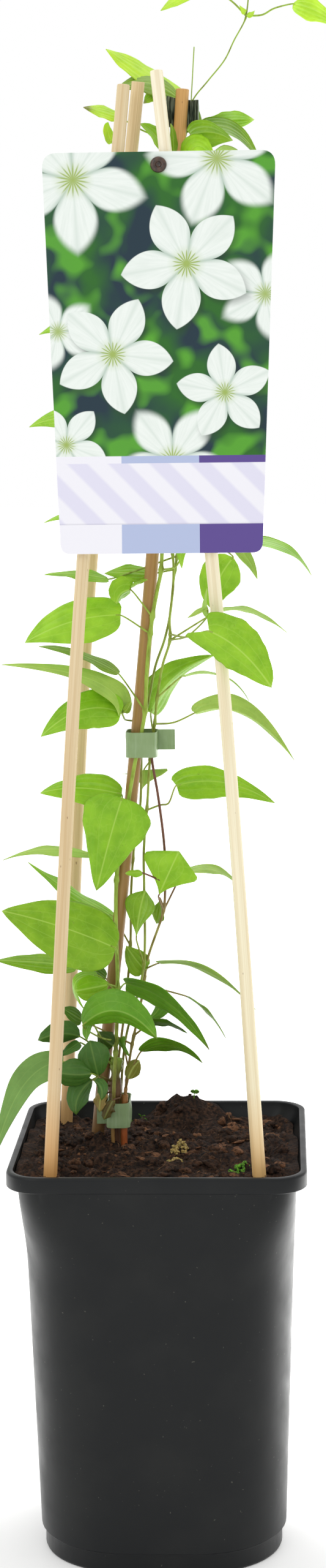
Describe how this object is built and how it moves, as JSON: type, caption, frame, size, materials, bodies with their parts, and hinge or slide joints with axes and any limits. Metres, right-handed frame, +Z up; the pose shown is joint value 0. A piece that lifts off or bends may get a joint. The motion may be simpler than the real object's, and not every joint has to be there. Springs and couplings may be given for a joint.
{
  "type": "potted clematis climber",
  "caption": "Young clematis climber in a square black nursery pot: leafy vines tied to canes that lean together, with a blank-text hanging label.",
  "frame": {"origin": "middle of the pot's flat underside", "axes": "+Z up along the canes' height, -Y towards the side that the label faces, +X to the right of the label as one reads it"},
  "size_m": [0.1844, 0.15, 0.7999],
  "materials": {
    "pot": "moulded black polypropylene, satin with dusty scuffs",
    "soil": "moist dark brown peat compost with reddish fibres and bark",
    "cane_pale": "peeled pale straight-grained wood cane, matt",
    "cane_brown": "brown unpeeled cane, slightly glossy",
    "leaf_front": "light green climbing stem and leaves, satin",
    "leaf_back": "mid green climbing stem and leaves, satin",
    "leaf_middle": "fresh yellow-green climbing stem and leaves, satin",
    "leaf_red": "reddish purple climbing stem with mid green leaves",
    "leaf_low": "woody brown stem with dark green older leaves",
    "label": "white printed plastic card, slightly glossy",
    "stud": "dark brown moulded plastic",
    "tape": "grey-green thin plastic tying tape",
    "tape_dark": "blackish green thin plastic tying tape with pale streaks"
  },
  "bodies": {
    "root": {"pot": "pot", "soil": "soil", "cane_front_left": "cane_pale", "cane_back_left": "cane_pale", "cane_front_right": "cane_pale", "cane_centre": "cane_brown", "vine_front": "leaf_front", "vine_back": "leaf_back", "vine_middle": "leaf_middle", "vine_red": "leaf_red", "vine_low": "leaf_low", "label": "label", "label_clip": "stud", "tie_middle": "tape", "tie_base": "tape", "tie_top": "tape_dark"}
  },
  "joints": []
}
